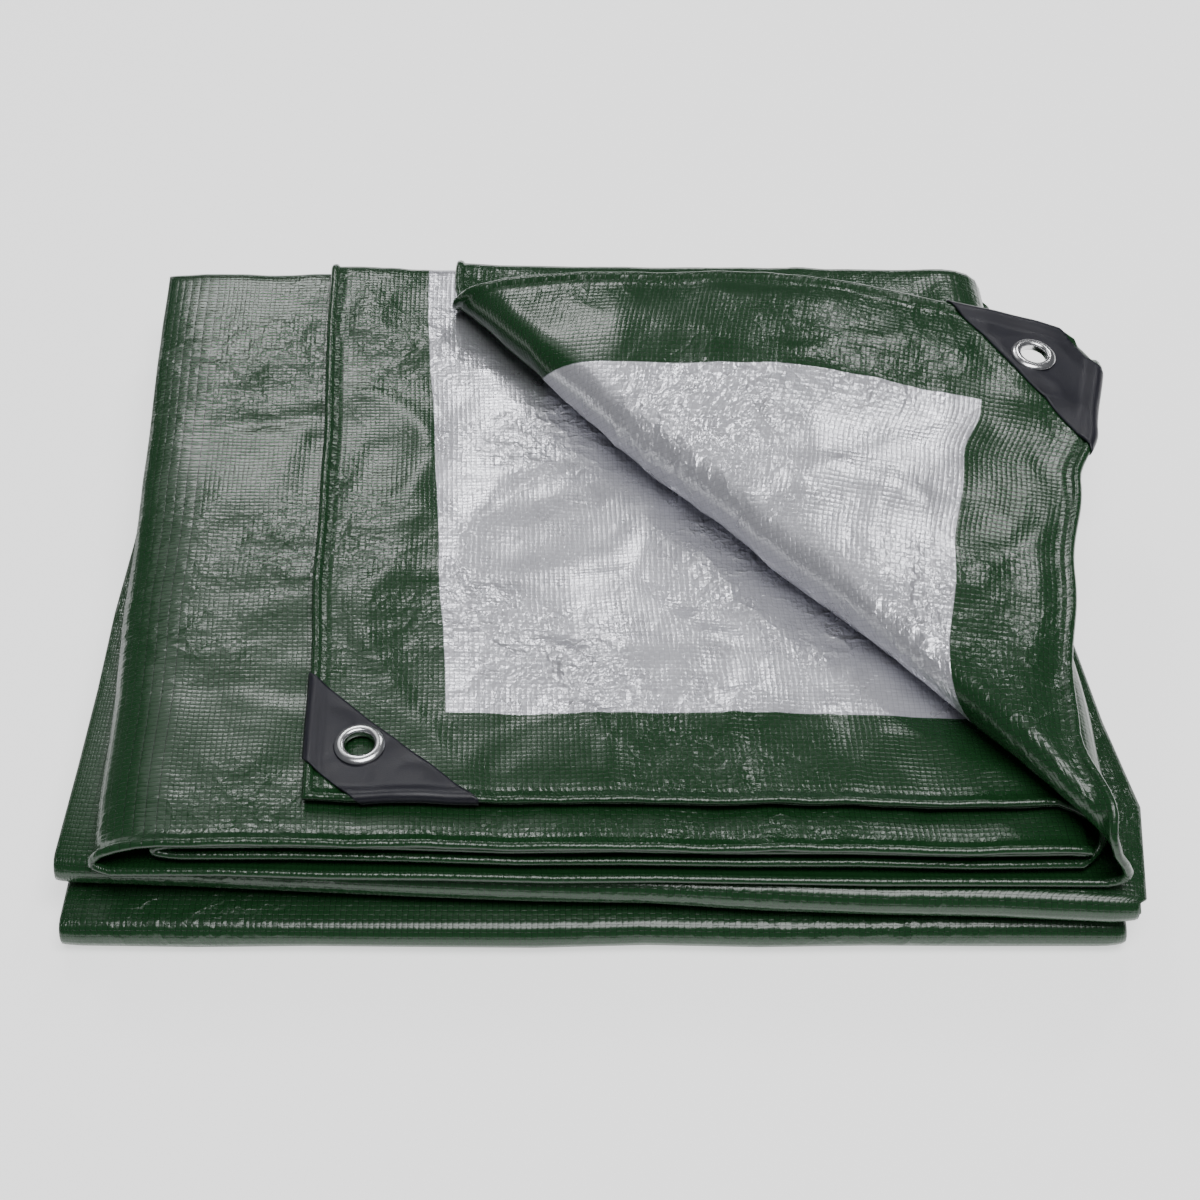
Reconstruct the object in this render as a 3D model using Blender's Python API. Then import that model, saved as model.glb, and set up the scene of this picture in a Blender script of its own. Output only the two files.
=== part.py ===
"""A woven plastic tarpaulin, folded for storage, in metres with +Z up.

The sheet is folded crosswise into a strip of six leaves, and the strip is folded lengthwise into
five panels that lie on each other. The top leaf of the top panel is turned back along a
diagonal, so that its corner overhangs the right side. Two corners wear a black patch with an eyelet.

Every point of the flat sheet has a place u across it and v along it. The functions below work out
where the folds carry that point, so the whole tarpaulin is one sheet with a thickness.
"""

import math

import bmesh
import bpy
from mathutils import Vector

# The sheet and its hem, which is thicker because a rope runs inside it.
SHEET_THICK = 0.001
BEAD_THICK = 0.0042
BEAD_WIDTH = 0.0055

# The strip, folded crosswise. X runs from its left edge to its right edge.
STRIP_WIDTH = 0.435
TOP_LEVEL = 5
FOLD_PITCH = 0.004

# Leaves in the order in which the sheet runs: level in the strip from below, X where the leaf
# starts and ends, how far back its front edge lies, and how many spans it has.
LEAVES = (
    ("second", 4, 0.088, 0.408, 0.021, 6),
    ("fifth", 1, 0.418, 0.038, -0.001, 2),
    ("fourth", 2, 0.034, 0.412, 0.002, 2),
    ("third", 3, 0.410, 0.030, 0.000, 5),
    ("lowest", 0, 0.008, 0.424, -0.007, 3),
    ("turned_back", 5, 0.414, 0.155, -0.008, 8),
)
# Folds between them: X of the crease, and where it lies from the first leaf's level (0) to the next's (1).
CROSS_FOLDS = (
    ("right_middle", 0.427, 0.60),
    ("left_inner", 0.026, 0.50),
    ("right_inner", 0.420, 0.50),
    ("left_outer", 0.000, 0.85),
    ("right_outer", 0.435, 0.30),
)
CROSS_FOLD_SPANS = 4

# Panels from the top down: height of the lowest sheet and the pitch, at the front and at the back.
PANELS = (
    ("top", 0.0346, 0.0044, 0.0342, 0.0042, 8),
    ("second", 0.0248, 0.00135, 0.0248, 0.00135, 3),
    ("third", 0.0167, 0.00135, 0.0167, 0.00135, 3),
    ("fourth", 0.0086, 0.00135, 0.0086, 0.00135, 3),
    ("bottom", 0.0005, 0.00135, 0.0005, 0.00135, 3),
)
# Each panel's outline, front then back: x of its left and right edge, and y at each of them.
OUTLINES = (
    (("front_hem", -0.216, 0.222, 0.003, -0.003), ("back_fold_upper", -0.234, 0.205, 0.379, 0.372)),
    (("front_fold_upper", -0.234, 0.229, 0.009, -0.012), ("back_fold_upper", -0.222, 0.212, 0.379, 0.372)),
    (("front_fold_upper", -0.234, 0.229, 0.009, -0.012), ("back_fold_lower", -0.222, 0.214, 0.372, 0.376)),
    (("front_fold_lower", -0.231, 0.226, -0.013, -0.013), ("back_fold_lower", -0.222, 0.214, 0.372, 0.376)),
    (("front_fold_lower", -0.231, 0.226, -0.013, -0.013), ("back_hem", -0.222, 0.219, 0.374, 0.370)),
)
# The folded right edges swell a little behind the front folds: how far, how far back, how long.
SWELL, SWELL_AT, SWELL_LENGTH = 0.011, 0.036, 0.045
PANEL_LENGTH = 0.380
BEND_SPANS = 4
BEND_LENGTH = 0.020
BEND_ROUND = (0.6, 1.0, 1.0, 1.0)
SAG = 0.03

# The turned-back corner: a point of its fold line, the line's direction, and the roll's radius.
FLAP_POINT = Vector((0.0785, 0.1370, 0.0))
FLAP_ALONG = Vector((0.674, -0.738, 0.0)).normalized()
FLAP_OUT = Vector((-0.738, -0.674, 0.0)).normalized()
FLAP_RADIUS = 0.0145
FLAP_RADIUS_ENDS = 0.0045
FLAP_FROM, FLAP_TO = -0.290, 0.205
FLAP_REST = 0.0120
FLAP_SETTLE = 0.150
# The turned-back leaf's side hem leans and bows outwards, and rises from the pack in an arch.
FLAP_LEAN = 0.036
FLAP_HEM_BOW = 0.024
FLAP_BOW_LENGTH = 0.9
FLAP_HEM_RISE = 0.014
FLAP_ARCH_LENGTH = 0.340
FLAP_ARCH_WIDTH = 0.070
# The end of the roll is pushed along the hem: its place, how far it moves, and the reach of the push.
FLAP_END = Vector((-0.078, 0.335, 0.0))
FLAP_END_MOVE = Vector((0.006, 0.018, 0.0))
FLAP_END_REACH = 0.075
FLAP_END_FADE = 0.06
# How far inwards its front hem lies, at shares of the way from the fold to the side hem.
FLAP_EDGE = (
    (0.00, 0.0000),
    (0.13, 0.0135),
    (0.22, 0.0140),
    (0.43, 0.0093),
    (0.64, 0.0020),
    (0.76, -0.0080),
    (1.00, -0.0170),
)

# Corner patches, folded over the hem, and the eyelets pressed through them.
PATCH_LEG = 0.075
PATCH_CUT = 0.022
PATCH_THICK = 0.0008
EYELET_FROM_SIDE = 0.024
EYELET_FROM_FRONT = 0.0325
EYELET_RADIUS = 0.0115
EYELET_HOLE = 0.0065
BARREL_RADIUS = 0.0072
CLOTH_HOLE = 0.0085
PATCH_HOLE = 0.0082
PATCH_CUTS = ((0.0115, 0.0200), (0.0365, 0.0450))
GAP = 0.0003


def clear_scene():
    for old in list(bpy.data.objects):
        bpy.data.objects.remove(old, do_unlink=True)


def material(name, colour, roughness, metallic=0.0):
    made = bpy.data.materials.new(name)
    made.use_nodes = True
    shader = made.node_tree.nodes["Principled BSDF"]
    shader.inputs["Base Color"].default_value = (*colour, 1.0)
    shader.inputs["Roughness"].default_value = roughness
    shader.inputs["Metallic"].default_value = metallic
    return made


def mix(a, b, t):
    return a + (b - a) * t


def smooth(t):
    t = min(max(t, 0.0), 1.0)
    return t * t * (3.0 - 2.0 * t)


def fold_point(fold, before, after, t):
    """X and level on a crosswise fold: a quarter ellipse out to the crease and one back."""
    crease, share = fold[1], fold[2]
    level = mix(before[1], after[1], share)
    if t < 0.5:
        angle = math.pi * t
        return (
            mix(before[3], crease, math.sin(angle)),
            mix(before[1], level, 1.0 - math.cos(angle)),
        )
    angle = math.pi * (t - 0.5)
    return (
        mix(crease, after[2], 1.0 - math.cos(angle)),
        mix(level, after[1], math.sin(angle)),
    )


def fold_length(fold, before, after):
    points = [fold_point(fold, before, after, i / 16) for i in range(17)]
    return sum(
        math.hypot(b[0] - a[0], (b[1] - a[1]) * FOLD_PITCH) for a, b in zip(points, points[1:])
    )


def cross_stretches():
    """(kind, index, u where it starts, its length, its spans) for each leaf and fold in turn."""
    stretches = []
    u = 0.0
    for i, leaf in enumerate(LEAVES):
        length = abs(leaf[3] - leaf[2])
        stretches.append(("leaf", i, u, length, leaf[5]))
        u += length
        if i < len(CROSS_FOLDS):
            length = fold_length(CROSS_FOLDS[i], leaf, LEAVES[i + 1])
            stretches.append(("fold", i, u, length, CROSS_FOLD_SPANS))
            u += length
    return stretches


def long_stretches():
    """The same along the sheet: each panel, and the bend after it."""
    stretches = []
    v = 0.0
    for i, panel in enumerate(PANELS):
        stretches.append(("panel", i, v, PANEL_LENGTH, panel[5]))
        v += PANEL_LENGTH
        if i < len(PANELS) - 1:
            stretches.append(("bend", i, v, BEND_LENGTH, BEND_SPANS))
            v += BEND_LENGTH
    return stretches


ACROSS = cross_stretches()
ALONG = long_stretches()
SHEET_U = ACROSS[-1][2] + ACROSS[-1][3]
SHEET_V = ALONG[-1][2] + ALONG[-1][3]
FLAP_U = ACROSS[-1][2]


def stretch_at(stretches, place):
    """The stretch that holds a place on the sheet, and how far along it the place is."""
    for kind, index, start, length, _ in stretches:
        if place <= start + length:
            break
    return kind, index, min(max((place - start) / length, 0.0), 1.0)


def cross_place(u):
    """X in the strip, level in the strip, and how far back the front edge lies."""
    kind, i, t = stretch_at(ACROSS, u)
    leaf = LEAVES[i]
    if kind == "leaf":
        return mix(leaf[2], leaf[3], t), leaf[1], leaf[4]
    x, level = fold_point(CROSS_FOLDS[i], leaf, LEAVES[i + 1], t)
    return x, level, mix(leaf[4], LEAVES[i + 1][4], t)


def height(panel, level, back):
    """Height of a level in a panel, from its front (back = 0) to its back (1)."""
    _, front_low, front_pitch, back_low, back_pitch, _ = PANELS[panel]
    rank = level if panel % 2 == 0 else TOP_LEVEL - level
    return mix(front_low + front_pitch * rank, back_low + back_pitch * rank, back)


def edge_at(panel, back, share):
    """x and y of a panel's front edge (back = 0) or back edge (1) at a share of the strip's width."""
    _, x_left, x_right, y_left, y_right = OUTLINES[panel][back]
    return mix(x_left, x_right, share), mix(y_left, y_right, share)


def swell(panel, y, share):
    """The folded right edges of the second and third panel stand out behind the front fold."""
    if panel not in (1, 2):
        return 0.0
    return SWELL * smooth(4.0 * share - 3.0) * math.exp(-(((y - SWELL_AT) / SWELL_LENGTH) ** 4))


def flap_edge(along):
    """How far inwards the turned-back leaf's front hem lies."""
    for (start, first), (end, last) in zip(FLAP_EDGE, FLAP_EDGE[1:]):
        if along <= end:
            break
    return mix(first, last, smooth((along - start) / (end - start)))


def hem_bow(back):
    """How far the turned-back leaf's side hem bows outwards."""
    return FLAP_HEM_BOW * math.sin(math.pi * min(back / FLAP_BOW_LENGTH, 1.0))


def hem_arch(u, v):
    """How far the turned-back leaf's side hem rises from the pack."""
    along = math.sin(math.pi * min(v / FLAP_ARCH_LENGTH, 1.0))
    return FLAP_HEM_RISE * along * math.exp(-(((SHEET_U - u) / FLAP_ARCH_WIDTH) ** 2))


def pack_place(u, v):
    """Where the two sets of folds carry a point of the sheet, before the corner is turned back."""
    x_strip, level, edge = cross_place(u)
    kind, i, t = stretch_at(ALONG, v)
    if kind == "panel":
        back = t if i % 2 == 0 else 1.0 - t
        if i == 0 and u > FLAP_U:
            along = (u - FLAP_U) / (SHEET_U - FLAP_U)
            x_strip -= (FLAP_LEAN * (1.0 - back) + hem_bow(back)) * along
            edge += flap_edge(along)
        share = x_strip / STRIP_WIDTH
        x_front, y_front = edge_at(i, 0, share)
        x_back, y_back = edge_at(i, 1, share)
        if i == 0:
            y_front += edge
        y = mix(y_front, y_back, back)
        return Vector((mix(x_front, x_back, back) + swell(i, y, share), y, height(i, level, back)))
    share = x_strip / STRIP_WIDTH
    at_back = 1 if i % 2 == 0 else 0
    x_upper, y_upper = edge_at(i, at_back, share)
    x_lower, y_lower = edge_at(i + 1, at_back, share)
    x = mix(x_upper, x_lower, smooth((t - 0.4) / 0.6))
    y = mix(y_upper, y_lower, t)
    upper, lower = height(i, level, at_back), height(i + 1, level, at_back)
    radius = (upper - lower) / 2
    outwards = 1.0 if i % 2 == 0 else -1.0
    angle = math.pi * t
    bulge = outwards * radius * BEND_ROUND[i] * math.sin(angle)
    return Vector((x, y + bulge, (upper + lower) / 2 + radius * math.cos(angle)))


def settled(point):
    """Soft dips and rises of the whole pack, which fade to nothing at its flat underside."""
    waves = math.sin(9.0 * point.x + 1.0) * math.sin(8.0 * point.y + 0.4)
    middle = math.sin(math.pi * min(max(point.y / PANEL_LENGTH, 0.0), 1.0))
    floor = SHEET_THICK / 2
    point.z = floor + (point.z - floor) * (1.0 + SAG * (0.35 * waves - 0.65 * middle))
    return point


def roll_radius(along):
    """The roll is tight at both ends of its line and widest past the middle."""
    t = (along - FLAP_FROM) / (FLAP_TO - FLAP_FROM)
    t = min(max(t, 0.0), 1.0)
    return FLAP_RADIUS_ENDS + (FLAP_RADIUS - FLAP_RADIUS_ENDS) * math.sin(math.pi * t) ** 0.8


def turned_back(point):
    """A point of the top leaf, rolled over the diagonal and laid back on the pack."""
    offset = Vector((point.x - FLAP_POINT.x, point.y - FLAP_POINT.y, 0.0))
    radius = roll_radius(offset.dot(FLAP_ALONG))
    beyond = offset.dot(FLAP_OUT) + math.pi * radius / 2
    if beyond <= 0.0:
        return point
    foot = point - FLAP_OUT * beyond
    angle = beyond / radius
    if angle < math.pi:
        rise = radius * (1.0 - math.cos(angle))
        return foot + FLAP_OUT * (radius * math.sin(angle)) + Vector((0.0, 0.0, rise))
    back = beyond - math.pi * radius
    rise = FLAP_REST + (2.0 * radius - FLAP_REST) * math.exp(-((back / FLAP_SETTLE) ** 2))
    rise = min(rise, 2.0 * radius)
    return foot - FLAP_OUT * back + Vector((0.0, 0.0, max(rise, FLAP_REST)))


def end_push(point):
    """How far the end of the roll is pushed."""
    away = math.hypot(point.x - FLAP_END.x, point.y - FLAP_END.y)
    return FLAP_END_MOVE * math.exp(-((away / FLAP_END_REACH) ** 2))


def place(u, v):
    """Where a point of the flat sheet ends up."""
    point = settled(pack_place(u, v))
    if v > PANEL_LENGTH:
        return point
    kind, i, t = stretch_at(ACROSS, u)
    if kind == "fold" and i == len(CROSS_FOLDS) - 1:
        return point.lerp(turned_back(point), smooth(2.0 * t - 1.0))
    if kind == "leaf" and i == len(LEAVES) - 1:
        turned = turned_back(point)
        push = end_push(turned) * smooth((PANEL_LENGTH - v) / FLAP_END_FADE)
        return turned + push + Vector((0.0, 0.0, hem_arch(u, v)))
    return point


def normal(u, v):
    """The sheet's normal on its silver side."""
    step = 0.0005
    across = place(u + step, v) - place(u - step, v)
    along = place(u, v + step) - place(u, v - step)
    return across.cross(along).normalized()


def bead(distance):
    """The sheet's thickness at a distance from its hemmed edge."""
    if distance >= BEAD_WIDTH:
        return SHEET_THICK
    from_middle = (distance - 0.45 * BEAD_WIDTH) / (0.55 * BEAD_WIDTH)
    return mix(SHEET_THICK, BEAD_THICK, math.sqrt(max(1.0 - from_middle**2, 0.0)))


def thickness(u, v):
    """One sheet, with a bead along the front hem and, as far as the first bend, the side hems."""
    fade = 1.0 - smooth((v - PANEL_LENGTH) / (0.5 * BEND_LENGTH))
    side = mix(SHEET_THICK, bead(min(u, SHEET_U - u)), fade)
    return max(bead(v), side)


def cut_lines(bm, faces, point, direction):
    """Cuts the faces along a straight line of the flat sheet."""
    geometry = set(faces)
    for face in faces:
        geometry.update(face.edges)
        geometry.update(face.verts)
    across = Vector((direction.y, -direction.x, 0.0))
    bmesh.ops.bisect_plane(bm, geom=list(geometry), dist=1e-6, plane_co=point, plane_no=across)


def faces_in(bm, low_u, high_u, low_v, high_v):
    found = []
    for face in bm.faces:
        middle = face.calc_center_median()
        if low_u < middle.x < high_u and low_v < middle.y < high_v:
            found.append(face)
    return found


def cuts_of(stretches, bead_places):
    """Places of the cuts that divide the flat sheet: each stretch's spans, and the hem's bead."""
    places = list(bead_places)
    for _, _, start, length, spans in stretches:
        places += [start + length * i / spans for i in range(spans)]
    return sorted(places)


def cut_hole(bm, u, v, radius):
    """An eight-sided hole round a place on the flat sheet."""
    reach = 0.5 * PATCH_LEG
    for i in range(8):
        angle = math.pi * (i + 0.5) / 4
        out = Vector((math.cos(angle), math.sin(angle), 0.0))
        near = faces_in(bm, u - reach, u + reach, v - reach, v + reach)
        cut_lines(bm, near, Vector((u, v, 0.0)) + out * radius, Vector((-out.y, out.x, 0.0)))
    inside = []
    for face in bm.faces:
        middle = face.calc_center_median()
        if (middle - Vector((u, v, 0.0))).length < radius:
            inside.append(face)
    bmesh.ops.delete(bm, geom=inside, context="FACES")


def flat_rectangle(bm, low_u, high_u, low_v, high_v):
    bmesh.ops.create_grid(bm, x_segments=1, y_segments=1, size=0.5)
    for vert in bm.verts:
        vert.co.x = mix(low_u, high_u, vert.co.x + 0.5)
        vert.co.y = mix(low_v, high_v, vert.co.y + 0.5)


def flap_line_places():
    """How far the cuts along the roll lie from its fold line, from the flat part to the returned one."""
    half = math.pi * FLAP_RADIUS / 2
    return [half * step for step in (-1.0, -0.66, -0.33, 0.0, 0.33, 0.66, 1.0, 1.7)]


def finish(bm, name, thick, finish_material, weights=None):
    """Makes the object, and gives the sheet its thickness with a Solidify modifier."""
    mesh = bpy.data.meshes.new(name)
    bm.to_mesh(mesh)
    bm.free()
    mesh.materials.append(finish_material)
    mesh.shade_smooth()
    made = bpy.data.objects.new(name, mesh)
    bpy.context.scene.collection.objects.link(made)
    if thick:
        wall = made.modifiers.new("Thickness", "SOLIDIFY")
        wall.thickness = thick
        wall.offset = 0.0
    if weights:
        group = made.vertex_groups.new(name="thickness")
        for index, weight in enumerate(weights):
            group.add([index], weight, "REPLACE")
        wall.vertex_group = group.name
        wall.thickness_vertex_group = 0.0
    return made


def make_cloth():
    bm = bmesh.new()
    flat_rectangle(bm, 0.0, SHEET_U, 0.0, SHEET_V)
    steps = [BEAD_WIDTH * share for share in (0.2, 0.7, 1.0)]
    side_steps = steps + [SHEET_U - step for step in steps]
    for u in cuts_of(ACROSS, side_steps):
        cut_lines(bm, bm.faces, Vector((u, 0.0, 0.0)), Vector((0.0, 1.0, 0.0)))
    for v in cuts_of(ALONG, steps):
        cut_lines(bm, bm.faces, Vector((0.0, v, 0.0)), Vector((1.0, 0.0, 0.0)))
    # On the flat leaf u grows to the left, so the fold line is turned round with it.
    last = LEAVES[-1]
    left, right = OUTLINES[0][0][1:3]
    line_u = FLAP_U + last[2] - (FLAP_POINT.x - left) * STRIP_WIDTH / (right - left)
    for off in flap_line_places():
        start = Vector((line_u - FLAP_OUT.x * off, FLAP_POINT.y + FLAP_OUT.y * off, 0.0))
        along = Vector((-FLAP_ALONG.x, FLAP_ALONG.y, 0.0))
        near = faces_in(bm, FLAP_U - ACROSS[-2][3], SHEET_U, 0.0, PANEL_LENGTH)
        cut_lines(bm, near, start, along)
    cut_hole(bm, EYELET_FROM_SIDE, EYELET_FROM_FRONT, CLOTH_HOLE)
    cut_hole(bm, SHEET_U - EYELET_FROM_SIDE, EYELET_FROM_FRONT, CLOTH_HOLE)
    weights = []
    for vert in bm.verts:
        u, v = vert.co.x, vert.co.y
        weights.append(thickness(u, v) / BEAD_THICK)
        vert.co = place(u, v)
    green = material("green_tarpaulin", (0.016, 0.062, 0.026), 0.35)
    return finish(bm, "tarp_cloth", BEAD_THICK, green, weights)


def make_patch(name, at_far_side, black):
    """A black three-cornered plate on the silver side, between the two beads of a corner."""
    inner = BEAD_WIDTH + 4 * GAP
    lift = SHEET_THICK / 2 + GAP + PATCH_THICK / 2
    bm = bmesh.new()
    flat_rectangle(bm, inner, PATCH_LEG - inner, inner, PATCH_LEG - inner)
    # The cuts pass either side of the eyelet's flange.
    for u, v in PATCH_CUTS:
        cut_lines(bm, bm.faces, Vector((u, 0.0, 0.0)), Vector((0.0, 1.0, 0.0)))
        cut_lines(bm, bm.faces, Vector((0.0, v, 0.0)), Vector((1.0, 0.0, 0.0)))
    slant = Vector((1.0, -1.0, 0.0)).normalized()
    for reach in (PATCH_CUT, PATCH_LEG):
        cut_lines(bm, bm.faces, Vector((reach, 0.0, 0.0)), slant)
    gone = []
    for face in bm.faces:
        middle = face.calc_center_median()
        if not PATCH_CUT < middle.x + middle.y < PATCH_LEG:
            gone.append(face)
    bmesh.ops.delete(bm, geom=gone, context="FACES")
    cut_hole(bm, EYELET_FROM_SIDE, EYELET_FROM_FRONT, PATCH_HOLE)
    for vert in bm.verts:
        u = SHEET_U - vert.co.x if at_far_side else vert.co.x
        v = vert.co.y
        vert.co = place(u, v) + normal(u, v) * lift
    if at_far_side:
        bmesh.ops.reverse_faces(bm, faces=bm.faces)
    return finish(bm, name, PATCH_THICK, black)


def make_eyelet(name, at_far_side, metal):
    """A grommet and its washer, pressed together: a rolled rim, a dished flange and a barrel."""
    u = SHEET_U - EYELET_FROM_SIDE if at_far_side else EYELET_FROM_SIDE
    v = EYELET_FROM_FRONT
    up = normal(u, v)
    seat = SHEET_THICK / 2 + PATCH_THICK + 2 * GAP
    under = SHEET_THICK / 2 + GAP
    # Radius and height from the sheet's middle, round the section of the ring.
    section = (
        (EYELET_HOLE, -under - 0.0006),
        (EYELET_HOLE, seat + 0.0009),
        (EYELET_HOLE + 0.0005, seat + 0.0014),
        (EYELET_HOLE + 0.0011, seat + 0.0012),
        (EYELET_RADIUS - 0.0022, seat + 0.0007),
        (EYELET_RADIUS - 0.0010, seat + 0.0012),
        (EYELET_RADIUS - 0.0002, seat + 0.0009),
        (EYELET_RADIUS, seat + 0.0003),
        (EYELET_RADIUS - 0.0004, seat),
        (BARREL_RADIUS, seat),
        (BARREL_RADIUS, -under),
        (EYELET_RADIUS - 0.0008, -under),
        (EYELET_RADIUS - 0.0006, -under - 0.0004),
        (EYELET_HOLE + 0.0008, -under - 0.0010),
    )
    bm = bmesh.new()
    verts = [bm.verts.new((radius, 0.0, rise)) for radius, rise in section]
    edges = [bm.edges.new((a, b)) for a, b in zip(verts, verts[1:] + verts[:1])]
    bmesh.ops.spin(
        bm, geom=verts + edges, cent=(0, 0, 0), axis=(0, 0, 1), angle=2 * math.pi, steps=28, use_merge=True
    )
    bmesh.ops.remove_doubles(bm, verts=bm.verts, dist=1e-6)
    bmesh.ops.recalc_face_normals(bm, faces=bm.faces)
    turn = up.to_track_quat("Z", "Y")
    bmesh.ops.rotate(bm, verts=bm.verts, cent=(0, 0, 0), matrix=turn.to_matrix())
    bmesh.ops.translate(bm, verts=bm.verts, vec=place(u, v))
    made = finish(bm, name, 0.0, metal)
    made.data.set_sharp_from_angle(angle=math.radians(50))
    return made


def centre_on_floor(objects):
    """Moves the pieces so that the origin is the middle of the tarpaulin's underside."""
    bpy.context.view_layer.update()
    graph = bpy.context.evaluated_depsgraph_get()
    corners = []
    for one in objects:
        corners += [one.matrix_world @ Vector(corner) for corner in one.evaluated_get(graph).bound_box]
    low = [min(corner[axis] for corner in corners) for axis in range(3)]
    high = [max(corner[axis] for corner in corners) for axis in range(3)]
    move = Vector((-(low[0] + high[0]) / 2, -(low[1] + high[1]) / 2, -low[2]))
    for one in objects:
        one.location = move


def main():
    clear_scene()
    black = material("black_patch", (0.012, 0.012, 0.018), 0.38)
    metal = material("eyelet_aluminium", (0.86, 0.87, 0.88), 0.22, 1.0)
    pieces = [make_cloth()]
    pieces.append(make_patch("corner_patch_front", False, black))
    pieces.append(make_patch("corner_patch_flap", True, black))
    pieces.append(make_eyelet("eyelet_front", False, metal))
    pieces.append(make_eyelet("eyelet_flap", True, metal))
    centre_on_floor(pieces)


main()
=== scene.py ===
# %% [markdown]
# # A folded tarpaulin
# This lesson rebuilds a woven plastic tarpaulin that is folded for storage, with one corner
# turned back. The CAD frame gives the place of every piece; here each piece gets its looks.

# %% Load the frame
import math

import bmesh
import bpy
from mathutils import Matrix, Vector, noise


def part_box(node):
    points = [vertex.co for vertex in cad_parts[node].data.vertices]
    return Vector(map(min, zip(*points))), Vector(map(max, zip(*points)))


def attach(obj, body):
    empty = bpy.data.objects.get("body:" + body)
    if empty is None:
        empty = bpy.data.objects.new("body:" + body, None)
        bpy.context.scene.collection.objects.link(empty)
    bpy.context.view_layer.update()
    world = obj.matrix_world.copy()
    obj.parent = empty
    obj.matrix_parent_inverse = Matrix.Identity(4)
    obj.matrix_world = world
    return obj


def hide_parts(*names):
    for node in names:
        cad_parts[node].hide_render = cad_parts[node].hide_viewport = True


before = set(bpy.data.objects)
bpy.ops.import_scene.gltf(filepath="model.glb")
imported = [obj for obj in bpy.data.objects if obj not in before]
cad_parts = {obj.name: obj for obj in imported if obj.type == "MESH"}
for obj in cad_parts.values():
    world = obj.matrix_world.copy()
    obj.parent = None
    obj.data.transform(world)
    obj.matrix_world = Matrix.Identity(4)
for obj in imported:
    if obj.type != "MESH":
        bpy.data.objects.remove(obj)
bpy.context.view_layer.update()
print("CAD nodes:", sorted(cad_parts))

# %% [markdown]
# ## How the sheet is folded
# The real sheet is flat, with a place u across it and v along it, in metres. It is folded
# crosswise into a strip of six leaves, and the strip is folded lengthwise into five panels. A few
# short tables hold the folds, so that every point of the sheet can be carried to its place. The
# same way would fold a map or a blanket.

# %% Tables of the folds
STRIP_WIDTH = 0.435
TOP_LEVEL = 5
FOLD_PITCH = 0.004
PANEL_LENGTH = 0.380
BEND_LENGTH = 0.020
SHEET_THICK = 0.0004

# Name, level in the strip from below, X at the start and at the end, and how far back its
# front edge lies.
LEAVES = (
    ("second", 4, 0.088, 0.408, 0.021),
    ("fifth", 1, 0.418, 0.038, -0.001),
    ("fourth", 2, 0.034, 0.412, 0.002),
    ("third", 3, 0.410, 0.030, 0.000),
    ("lowest", 0, 0.008, 0.424, -0.007),
    ("turned_back", 5, 0.414, 0.155, -0.008),
)
# Name, X of the crease, and where it lies from one leaf's level to the next's.
CROSS_FOLDS = (
    ("right_middle", 0.427, 0.60),
    ("left_inner", 0.026, 0.50),
    ("right_inner", 0.420, 0.50),
    ("left_outer", 0.000, 0.85),
    ("right_outer", 0.435, 0.30),
)
# Name, then the height of the lowest sheet and the pitch, at the front and at the back.
PANELS = (
    ("top", 0.0346, 0.0044, 0.0342, 0.0042),
    ("second", 0.0248, 0.00135, 0.0248, 0.00135),
    ("third", 0.0167, 0.00135, 0.0167, 0.00135),
    ("fourth", 0.0086, 0.00135, 0.0086, 0.00135),
    ("bottom", 0.0005, 0.00135, 0.0005, 0.00135),
)
# Front and back of each panel: x of its left and right edge, and y at each of them.
FRONT_HEM = (-0.216, 0.222, 0.003, -0.003)
BACK_UPPER = (-0.234, 0.205, 0.379, 0.372)
BACK_UPPER_UNDER = (-0.222, 0.212, 0.379, 0.372)
FRONT_UPPER = (-0.234, 0.229, 0.009, -0.012)
BACK_LOWER = (-0.222, 0.214, 0.372, 0.376)
FRONT_LOWER = (-0.231, 0.226, -0.013, -0.013)
BACK_HEM = (-0.222, 0.219, 0.374, 0.370)
OUTLINES = (
    (FRONT_HEM, BACK_UPPER),
    (FRONT_UPPER, BACK_UPPER_UNDER),
    (FRONT_UPPER, BACK_LOWER),
    (FRONT_LOWER, BACK_LOWER),
    (FRONT_LOWER, BACK_HEM),
)
# How round each bend is, and the part of it in which the edges shift sideways.
BEND_ROUND = (0.6, 1.0, 1.0, 1.0)
BEND_SHIFT_FROM, BEND_SHIFT_SHARE = 0.4, 0.6
PRESSED_SHARE = 0.15
SWELL, SWELL_AT, SWELL_LENGTH = 0.011, 0.036, 0.045
SAG, SAG_WAVES, SAG_MIDDLE = 0.03, 0.35, 0.65
FLOOR_SHEET = 0.0005

# %% [markdown]
# The top leaf's corner is rolled back over a diagonal. The roll is thinner at its ends, and the
# part that it lays back settles on the pack.

# %% Sizes of the roll
FLAP_POINT = Vector((0.0785, 0.1370, 0.0))
FLAP_ALONG = Vector((0.674, -0.738, 0.0)).normalized()
FLAP_OUT = Vector((-0.738, -0.674, 0.0)).normalized()
FLAP_RADIUS, FLAP_RADIUS_ENDS, FLAP_RADIUS_POWER = 0.0145, 0.0045, 0.8
FLAP_FROM, FLAP_TO = -0.290, 0.205
FLAP_REST, FLAP_SETTLE = 0.0120, 0.150
FLAP_LEAN, FLAP_HEM_BOW, FLAP_BOW_LENGTH = 0.036, 0.024, 0.9
FLAP_END, FLAP_END_MOVE = Vector((-0.078, 0.335, 0.0)), Vector((0.006, 0.018, 0.0))
FLAP_END_REACH, FLAP_END_FADE = 0.075, 0.06
FLAP_HEM_RISE, FLAP_ARCH_LENGTH, FLAP_ARCH_WIDTH = 0.014, 0.340, 0.070
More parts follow.
